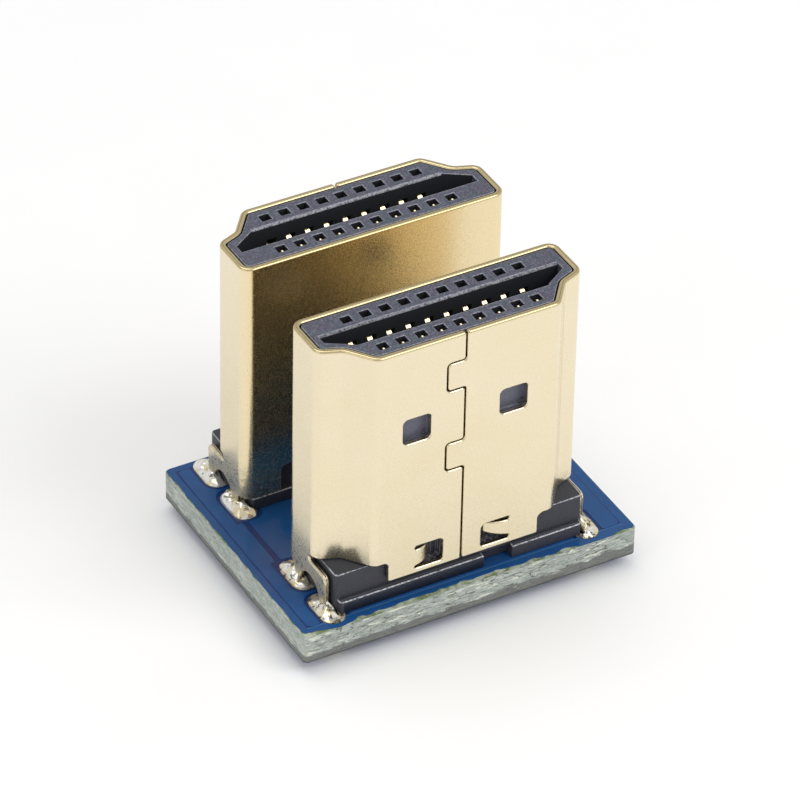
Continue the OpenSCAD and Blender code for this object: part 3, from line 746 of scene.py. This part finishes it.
def seam_side(edge, side):
    """One edge of the seam: a straight line with two steps, whose bends fit those of the other
    edge across an even gap. side is 1 for the edge with the tabs, which is run downwards, and -1
    for the notched one."""
    shift = side * SEAM_GAP / 2
    corners = []
    for k in (1, 0):
        top = RIM - TAB_DROP - k * TAB_PITCH - shift
        low = top - TAB_HEIGHT + 2 * shift
        root, tip = TAB_ROOT_BEND + shift, TAB_BEND - shift
        corners += [(edge, low, root), (edge - TAB_REACH, low, tip)]
        corners += [(edge - TAB_REACH, top, tip), (edge, top, root)]
    return corners[::-side]


def latch_window(x):
    """A latch window's edge, run clockwise so that the metal stays on its left."""
    z = RIM - LATCH_DROP
    corners = [(-1, -1), (-1, 1), (1, 1), (1, -1)]
    return rounded_loop([
        (x + i * LATCH_WIDTH / 2, z + j * LATCH_HEIGHT / 2, LATCH_BEND) for i, j in corners
    ])


bend_stops = np.concatenate([
    np.linspace(track_at[a], track_at[b - 1], 13) for a, b in zip(arc_ends, arc_ends[1:])
])
near_edge, far_edge = SEAM_GAP / 2 - SEAM_SHIFT, ROUND - SEAM_GAP / 2 - SEAM_SHIFT
foot = right_foot()
blank_corners = (
    [(near_edge, SKIRT_Z, SMALL_BEND)] + foot
    + [(ROUND - x, z, r) for x, z, r in foot[::-1]]
    + [(far_edge, SKIRT_Z, SMALL_BEND)] + seam_side(far_edge, -1)
    + [(far_edge, RIM, SMALL_BEND), (near_edge, RIM, SMALL_BEND)]
    + seam_side(near_edge, 1)
)
left_latch, right_latch = LATCH_X + WINDOW_SHIFT, LATCH_X - WINDOW_SHIFT
latch_spots = [right_latch, ROUND / 2 - right_latch, ROUND / 2 + left_latch, ROUND - left_latch]
blank_loops = [rounded_loop(blank_corners, stops=bend_stops)]
blank_loops += [latch_window(x) for x in latch_spots] + [lance_slit(**lance) for lance in LANCES]
# The grid's columns: at the bends, every 0.9 mm on the flats and every 0.12 mm in the lances
flats = np.arange(0, ROUND, 0.9)
flats = flats[np.abs(flats[:, None] - bend_stops).min(axis=1) > 0.2]
flats = flats[np.abs(np.abs(flats - ROUND / 2) - ROUND / 2 + LANCE_X) > LANCE_WIDTH / 2 + 0.1]
lance_stops = np.arange(LANCE_X - LANCE_WIDTH / 2, LANCE_X + LANCE_WIDTH / 2 + 0.1, 0.12)
lance_stops = np.concatenate([lance_stops, ROUND - lance_stops])
shell_points, shell_faces, shell_normals = sheet_solid(
    blank_loops, fold_shell, SHEET, EDGE_ROUND,
    columns=np.concatenate([bend_stops, flats, lance_stops]),
    rows=np.arange(LEG_TIP + 0.4, RIM, 0.6),
)

# %% Both shells
def joined(*solids):
    """Several solids as one list of points, faces and normals, each counted on from the last."""
    starts = np.cumsum([0] + [len(points) for points, _, _ in solids])
    faces = [group + start for (_, groups, _), start in zip(solids, starts) for group in groups]
    return np.vstack([s[0] for s in solids]), faces, np.vstack([s[2] for s in solids])


# One for the torn ring of a cut edge, and minus one for the rings inside of it
RING_MARKS = [0] * 5 + [1] + [-1] * 4
for plug in SPOTS:
    mesh = plug_mesh(plug, "folded_shell", shell_points, shell_faces, shell_normals)
    mark(mesh, "cut", np.repeat(RING_MARKS, [len(group) for group in shell_faces]))
    place_piece(mesh, shell_gold, [f"{plug}_shell"])

# %% [markdown]
# ## The insulators
#
# Each moulding is taken over from the frame, with its slot, windows and base. What a mould never
# leaves is a dead sharp edge, so the long edges of the face, the block and the ledges get a small
# round, and those rounds and the lips of the slot are marked pale, partly as wear and partly as
# painted highlight. Faces in the hollow behind the face are marked for painted shade.

# %% Insulators
# Height of an edge, its round and how pale it is painted, partly as wear and partly as highlight
PALE_EDGES = [(14.15, 0.035, 0.45), (2.2, 0.05, 0.8), (0.75, 0.05, 1.0)]
# How far off its level a pale edge may lie, the least turn at it, and the most on a flat face
LEVEL_OFF, EDGE_TURN, FLAT = 0.004, np.radians(40), np.radians(1)
# How far up a lip's face looks, and how pale it is painted, partly as wear and partly as highlight
LIP_TILT, LIP_PALE = (0.35, 0.95), 0.75
# Half length and half width of the hollow behind the face, and its heights, where the moulding is
# painted dark as shade
HOLLOW_X, HOLLOW_Y, HOLLOW_Z = 6.2, 1.55, (5, 14.1)


def pale_edge(edge, level):
    """True for a clear outer edge at a level whose rounds show pale, as wear and painted highlight.
    """
    heights = np.array([point.co.z for point in edge.verts]) / MM - BOARD_TOP
    at_level = np.abs(heights - level).max() < LEVEL_OFF
    return at_level and edge.is_convex and edge.calc_face_angle(0) > EDGE_TURN


for plug in SPOTS:
    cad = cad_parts[f"{plug}_housing"]
    shape = bmesh.new()
    shape.from_mesh(cad.data)
    shape.transform(cad.matrix_world)
    bmesh.ops.remove_doubles(shape, verts=shape.verts, dist=1e-7)
    bmesh.ops.dissolve_limit(shape, angle_limit=FLAT, verts=shape.verts, edges=shape.edges)
    pale_layer = shape.faces.layers.float.new("wear_and_highlight")
    for level, round_mm, pale in PALE_EDGES:
        rounds = bmesh.ops.bevel(
            shape, geom=[edge for edge in shape.edges if pale_edge(edge, level)],
            offset=round_mm * MM, segments=2, profile=0.5, affect="EDGES",
        )["faces"]
        for face in rounds:
            face[pale_layer] = pale
    shape.normal_update()
    # Faces that look up at a slant, the lips of the slot, are painted pale: a painted highlight,
    # partly wear
    for face in shape.faces:
        if LIP_TILT[0] < face.normal.z < LIP_TILT[1] and face[pale_layer] == 0:
            face[pale_layer] = LIP_PALE
    mesh = bpy.data.meshes.new(f"{plug}_moulding")
    shape.to_mesh(mesh)
    shape.free()
    mesh.shade_smooth()
    mesh.set_sharp_from_angle(angle=np.radians(50))
    middles = np.array([face.center for face in mesh.polygons]) / MM
    x, y, z = np.abs(middles - SPOTS[plug]).T
    # Faces in the hollow behind the face are marked for painted shade
    mark(mesh, "hollow_shade", (x < HOLLOW_X) & (y < HOLLOW_Y) & (z > HOLLOW_Z[0]) & (z < HOLLOW_Z[1]))
    piece = place_piece(mesh, housing_resin, [f"{plug}_housing"])
    piece.modifiers.new("flat_faces", "WEIGHTED_NORMAL").keep_sharp = True

# %% [markdown]
# ## The contacts
#
# Nineteen springs are blanked from thin bronze, bent, plated and stitched into each moulding. A
# spring hangs its narrow nose behind the lip, leans out into the slot to the point that touches
# the other plug, and runs back to its row and down to its tail. Every second tail steps inwards.

# %% Contacts
PINS = 19
ROW_Y, INNER_TAIL_Y, CONTACT_THICK = 1.27, 0.55, 0.2
LIP_Z, TAIL_END = 13.35, LEG_TIP + 0.1
WIDTH_HEIGHTS = [TAIL_END, TAIL_END + 0.15, 0.3, 0.95, LIP_Z - 0.25, LIP_Z, 14.0]
WIDTHS = [0.12, 0.24, 0.24, 0.32, 0.32, 0.17, 0.14]
TIP_ROUND, STRIDE = 0.1, 0.35
SPRING_STEP, SECTION_STEP, SECTION_BEND = np.radians(10), np.radians(30), 0.3
HEAD = [(1.19, 13.29, 0.15), (0.82, 12.93, 0.35), (0.52, 12.45, 0.6)]
INNER_END = [
    (ROW_Y, 0.85, 0.2), (INNER_TAIL_Y, 0.3, 0.2), (INNER_TAIL_Y, TAIL_END, 0),
]
# Place of the nose in the row nearer the camera and in the other row, which sits deeper
NEAR_NOSE, FAR_NOSE = (1.42, 14.1), (1.19, 13.8)
DEEP_PIN, DEEP_DROP = ("rear", 17), 0.55


def pin_x(pin):
    """Place of a contact along its plug, at a pitch of half a millimetre over both rows."""
    return pin / 2 - (PINS - 1) / 4


def inner_tail(pin):
    """True for every second contact of each row, whose tail steps inwards."""
    return pin % 4 in (2, 3)


def spring_route(nose, drop, inner):
    """Route of a spring from its nose to its tail, with its head let down by a drop."""
    head = [(*nose, 0)] + HEAD
    head = [(y, z - drop, bend) for y, z, bend in head] + [(ROW_Y, 8.25, 1.5)]
    return head + (INNER_END if inner else [(ROW_Y, TAIL_END, 0)])


def ring_walls(numbers):
    """Faces between rings of point numbers, given as one row for each ring."""
    ahead = np.roll(numbers, -1, axis=1)
    return np.stack([numbers[:-1], ahead[:-1], ahead[1:], numbers[1:]], axis=-1).reshape(-1, 4)


def spring(route):
    """A rounded strip swept along a bent route in the y, z plane: section points go across by the
    width at their height and out along the route's normal, and both ends shrink to a blunt tip."""
    corners = np.array(route, float)
    line = [corners[0, :2]]
    for a, b, c in zip(corners, corners[1:], corners[2:]):
        line.extend(bend_round(a[:2], b[:2], c[:2], b[2], SPRING_STEP)[0])
    line = np.array(line + [corners[-1, :2]])
    at = np.append(0, np.cumsum(np.linalg.norm(np.diff(line, axis=0), axis=1)))
    tips = TIP_ROUND * np.array([0, 0.05, 0.15, 0.35, 0.65, 1])
    even = np.arange(0.4, at[-1] - 0.2, STRIDE)
    even = even[np.abs(even[:, None] - at).min(axis=1) > TIP_ROUND]
    stops = np.sort(np.concatenate([tips, at[-1] - tips, at[1:-1], even]))
    spine = np.stack([np.interp(stops, at, line[:, i]) for i in (0, 1)], axis=1)
    run = unit(np.gradient(spine, axis=0))
    facing = np.stack([run[:, 1], -run[:, 0]], axis=1)
    from_tip = np.minimum(stops, at[-1] - stops) / TIP_ROUND
    lean = np.clip(1 - from_tip, 0, 0.99)[:, None]
    swell = np.sqrt(1 - lean**2)
    beyond = lean * run * np.where(stops < 1, -1, 1)[:, None]
    wide = np.interp(spine[:, 1], WIDTH_HEIGHTS, WIDTHS)[:, None] / 2
    corners = [(i, j, SECTION_BEND) for i, j in ((1, -1), (1, 1), (-1, 1), (-1, -1))]
    section, section_facing = rounded_loop(corners, longest=9, step=SECTION_STEP)
    solid = []
    for middle, across, out in (
        (spine, swell * wide * section[:, 0], swell * CONTACT_THICK / 2 * section[:, 1]),
        (beyond, swell * section_facing[:, 0], swell * section_facing[:, 1]),
    ):
        y, z = middle[:, :1] + out * facing[:, :1], middle[:, 1:] + out * facing[:, 1:]
        solid.append(np.stack([across, y, z], axis=-1).reshape(-1, 3))
    numbers = np.arange(len(solid[0])).reshape(len(spine), -1)
    return solid[0], [ring_walls(numbers), numbers[:1, ::-1], numbers[-1:]], solid[1]


for plug in SPOTS:
    springs = []
    for pin in range(PINS):
        near = (pin % 2 == 1) == (plug == "front")
        drop = DEEP_DROP if (plug, pin) == DEEP_PIN else 0
        route = spring_route(NEAR_NOSE if near else FAR_NOSE, drop, inner_tail(pin))
        points, faces, normals = spring(route)
        flip = np.array([1, 1, 1] if pin % 2 == 0 else [-1, -1, 1])
        springs.append((points * flip + [pin_x(pin), 0, 0], faces, normals * flip))
    mesh = plug_mesh(plug, "spring_contacts", *joined(*springs))
    names = [f"{plug}_contact_{pin:02d}" for pin in range(1, PINS + 1)]
    place_piece(mesh, contact_gold, names)

# %% [markdown]
# ## Solder mask over the copper
#
# The mask is a film of blue ink, screened over the board and baked. It lies a few hundredths of a
# millimetre higher where there is copper under it, and the copper makes it paler. It stops short
# of every land, and the board's front edge was sawn through it, which left a ragged border.

# %% Films of mask
FILM, POUR, FILM_ROUND = 0.035, 0.03, 0.012
LEG_X, LEG_Y, LEG_RUN = SIDE_X - SHEET / 2, 1.4, 1.15
# Half a leg's land and a tail's, how far the mask and the copper keep from a land, and the half
# width of the copper's holes at the covered tails
LAND_HALF, TAIL_LAND, MASK_CLEAR, COPPER_CLEAR, COVERED_TAIL = 0.6, 0.45, 0.02, 0.17, 0.2
RING = LAND_HALF + COPPER_CLEAR
# The copper-free band between the legs on the left, from the plugs' middle
BAND_LOW, BAND_HIGH = -7.28, -6.98
FILM_BEND, POUR_BEND, NOTCH_BEND, FORK_BEND, RING_BEND, NECK_BEND = 0.25, 0.3, 0.1, 0.12, 0.7, 0.5
rng = np.random.default_rng(7)


def on_board(spots):
    """Spots of one plug as places on the board of both plugs."""
    return np.vstack([np.array(spots) * TURNS[plug][:2] + SPOTS[plug][:2] for plug in SPOTS])


leg_spots = on_board([(i * LEG_X, j * LEG_Y) for i in (-1, 1) for j in (-1, 1)])
tail_spots = on_board([
    (pin_x(pin), (-1) ** pin * (INNER_TAIL_Y if inner_tail(pin) else ROW_Y)) for pin in range(PINS)
])


def land_hole(spot, half, run=0.0, steps=7):
    """A hole round a land, clockwise: two half circles, apart by the land's straight run."""
    turns = np.linspace(np.pi, 0, steps)
    ring = np.stack([np.cos(turns), np.sin(turns)], axis=1)
    facing = np.vstack([ring, -ring])
    shift = np.repeat([[0, run / 2], [0, -run / 2]], steps, axis=0)
    keep = np.ones(2 * steps, bool)
    if run == 0:
        keep[[steps, -1]] = False
    return (spot + facing * half + shift)[keep], -facing[keep]


# Step and roughness of the sawn border, how near a land it stays calm and how far it sinks there,
# its sink at the right end, and how much of its walk the left edge shares
SAW_STEP, SAW_ROUGH, CALM, LAND_SINK, END_SINK, LEFT_SHARE = 0.22, 0.05, 1.0, 0.12, 0.22, 0.3


def ragged(low, high):
    """A rectangle with arcs at its corners whose front edge wanders by a seeded walk about a line
    that nears the board's edge with the square of x."""
    points, facing = box_loop(low, high, FILM_BEND, SAW_STEP)
    front, left = facing[:, 1] < -0.999, facing[:, 0] < -0.999
    steps = rng.normal(0, 1, len(points))
    walk = np.convolve(steps, [0.2, 1, 0.8, 0.2], "same") * SAW_ROUGH
    near_land = np.abs(np.abs(points[:, 0] - PLUG_X) - LEG_X) < CALM
    rise = np.where(near_land, np.minimum(walk, 0) - LAND_SINK, walk)
    share = (points[:, 0] - low[0]) / (high[0] - low[0])
    points[:, 1] += np.where(front, rise, 0)
    points[:, 1] -= np.where(points[:, 1] < low[1] + 0.5, END_SINK * share**2, 0)
    points[:, 0] += np.where(left, LEFT_SHARE * walk, 0)
    points[:, 1] = np.maximum(points[:, 1], board_low[1])
    return points, facing


def level_fold(height, side):
    """Keeps a flat blank flat, at a height, with its outer face up or down."""
    def fold(flat):
        place = np.column_stack([flat * [1, side], np.full(len(flat), height)])
        normal = np.tile([0.0, 0.0, side], (len(flat), 1))
        return place, np.array([1.0, 0, 0]), np.array([0.0, side, 0]), normal
    return fold


def ring_ends(leg_y):
    """Lowest and highest y of the copper-free ring round a leg's land."""
    return leg_y - LEG_RUN / 2 - RING, leg_y + LEG_RUN / 2 + RING


def notch(x, edge_y, tip_y, way):
    """Corners that carry a pour's edge round a land that it would run into."""
    a, b = x - way * RING, x + way * RING
    bend = 0.98 * RING
    return [(a, edge_y, NOTCH_BEND), (a, tip_y, bend), (b, tip_y, bend), (b, edge_y, NOTCH_BEND)]


def joined_rings(x, band_low, band_high, near_y, far_y):
    """One opening, clockwise: the rings round two legs of the left side and the band between."""
    (a, b), (c, d) = ring_ends(near_y), ring_ends(far_y)
    left_side, right_side = [
        [(edge, a, RING_BEND), (edge, b, bend), (band, b, FORK_BEND),
         (band, c, FORK_BEND), (edge, c, bend), (edge, d, RING_BEND)]
        for edge, band, bend in ((x - RING, band_low, FORK_BEND), (x + RING, band_high, NECK_BEND))
    ]
    return rounded_loop(left_side + right_side[::-1])


land_holes = [land_hole(spot, LAND_HALF + MASK_CLEAR, LEG_RUN) for spot in leg_spots]
land_holes += [land_hole(spot, TAIL_LAND + MASK_CLEAR) for spot in tail_spots]
upper_mask = [ragged(MASK_LOW, MASK_HIGH)] + land_holes
lower_mask = [box_loop(board_low[:2] + 0.13, board_high[:2] - [0.13, 0.01], FILM_BEND)] + land_holes

(x0, y0), (x1, y1) = POUR_LOW, POUR_HIGH
left_x, right_x = PLUG_X - LEG_X, PLUG_X + LEG_X
near_tip, far_tip = ring_ends(FRONT_Y - LEG_Y)[1], ring_ends(REAR_Y + LEG_Y)[0]
inner_legs = FRONT_Y + LEG_Y, REAR_Y - LEG_Y
pour = [rounded_loop([
    (x0, y0, POUR_BEND), *notch(left_x, y0, near_tip, 1), *notch(right_x, y0, near_tip, 1),
    (x1, y0, POUR_BEND), (x1, y1, POUR_BEND), *notch(right_x, y1, far_tip, -1),
    *notch(left_x, y1, far_tip, -1), (x0, y1, POUR_BEND),
])]
pour.append(joined_rings(left_x, PLUG_X + BAND_LOW, PLUG_X + BAND_HIGH, *inner_legs))
pour += [land_hole((right_x, y), RING, LEG_RUN) for y in inner_legs]


def mirrored(loops):
    """Loops drawn for the upper face, as they are seen through the board from below."""
    return [(points[::-1] * [1, -1], facing[::-1] * [1, -1]) for points, facing in loops]


films = []
for side, board_face, mask, tail_hole in (
    (1, BOARD_TOP, upper_mask, COVERED_TAIL), (-1, board_low[2], lower_mask, TAIL_LAND + 0.1),
):
    tails = [land_hole(spot, tail_hole) for spot in tail_spots]
    for loops, thick, lift in ((mask, FILM, FILM), (pour + tails, POUR, FILM + POUR)):
        loops = loops if side > 0 else mirrored(loops)
        fold = level_fold(board_face + side * lift, side)
        films.append(sheet_solid(loops, fold, thick, FILM_ROUND, steps=2))
mesh = mesh_from("solder_mask_film", *joined(*films))
mark(mesh, "copper", np.repeat([0, 1, 0, 1], [sum(map(len, faces)) for _, faces, _ in films]))
place_piece(mesh, mask_blue)

# %% [markdown]
# ## Solder on the legs
#
# Each leg was soldered by hand. The tin wetted the land and climbed the plated steel, and it froze
# in lumps of its own, so no two joints are alike.

# %% Lumps of solder
RINGS, ROUND_STEPS = 16, 64
# Half width, half length, height and fullness of a pool under the board, how far each pool's foot
# is from the board, and where the inner face of a plate stops the solder
UNDER_POOL, POOL_LIFT = (0.55, 1.1, 0.44, 0.6), 0.05
PLATE_FACE, PLATE_REACH = 6.63, 2.2
# Which leg, shift from it, half width, half length, height and how full the pool is
JOINTS = {
    "front": [
        (-1, -1, 0.0, -0.02, 0.58, 1.14, 0.42, 0.15), (-1, 1, 0.0, 0.12, 0.58, 1.08, 0.45, 0.55),
        (1, -1, 0.02, 0.0, 0.58, 1.14, 0.5, 0.4), (1, 1, 0.0, 0.0, 0.57, 1.12, 0.5, 0.3),
    ],
    "rear": [
        (1, 1, 0.02, 0.02, 0.6, 1.16, 0.5, 0.8), (1, -1, 0.0, 0.0, 0.58, 1.14, 0.6, 0.3),
        (-1, 1, 0.0, 0.0, 0.57, 1.12, 0.5, 0.3), (-1, -1, 0.0, 0.0, 0.57, 1.12, 0.5, 0.3),
    ],
}


def lump(middle, half_width, half_length, height, full, base_z, side):
    """A pool of solder on a stadium foot: rings shrink to the middle, and the height is a hollow
    fillet near the foot that turns over to a dome, with waves of seeded phase laid over it."""
    turns = np.linspace(0, 2 * np.pi, ROUND_STEPS, endpoint=False)
    share = np.linspace(0, 1, RINGS) ** 0.8
    waves = rng.uniform(0, 2 * np.pi, 6)
    edge = 1 + 0.025 * np.sin(3 * turns + waves[0]) + 0.02 * np.sin(5 * turns + waves[1])
    foot = np.stack([
        half_width * np.cos(turns),
        half_width * np.sin(turns) + (half_length - half_width) * np.tanh(4 * np.sin(turns)),
    ], axis=1) * edge[:, None]
    spots = share[:, None, None] * foot[None]
    x, y = spots[..., 0], spots[..., 1]
    inward = 1 - share[:, None]
    dome = inward**1.8 * (1 - full) + np.sqrt(1 - share[:, None] ** 2) * full
    swell = 1 + 0.22 * np.sin(4.2 * y + waves[2]) + 0.14 * np.sin(8 * x + 3 * y + waves[3])
    ripple = 0.17 * np.sin(12 * y + waves[4]) * np.sin(10 * x + waves[5])
    z = base_z + side * height * dome * np.clip(swell + ripple, 0.4, 1.4)
    points = np.stack([x + middle[0], y + middle[1], z], axis=-1).reshape(-1, 3)
    points = np.vstack([points[:1], points[ROUND_STEPS:]])
    numbers = np.arange(1, len(points)).reshape(-1, ROUND_STEPS)
    walls = np.roll(ring_walls(numbers)[:, ::-1], 1, axis=1)
    fan = np.stack([0 * numbers[0], numbers[0], np.roll(numbers[0], -1)], axis=1)
    return points, [group[:, ::side] for group in (walls, fan, numbers[-1:, ::-1])]


for plug in SPOTS:
    parts = []
    for i, j, dx, dy, *pool in JOINTS[plug]:
        leg = np.array([i * LEG_X, j * LEG_Y])
        parts.append(lump(leg + [dx, dy], *pool, POOL_LIFT, 1))
        parts.append(lump(leg, *UNDER_POOL, -BOARD_THICK - POOL_LIFT, -1))
    points, faces, _ = joined(*[(points, faces, points) for points, faces in parts])
    x, y, z = points.T
    inner = (np.abs(x) < PLATE_FACE) & (np.abs(y) < PLATE_REACH) & (z > -1)
    points[:, 0] = np.where(inner, np.sign(x) * PLATE_FACE, x)
    mesh = plug_mesh(plug, "solder_joints", points, faces, smooth_below=80)
    place_piece(mesh, solder_tin, [f"{plug}_leg_solder"])
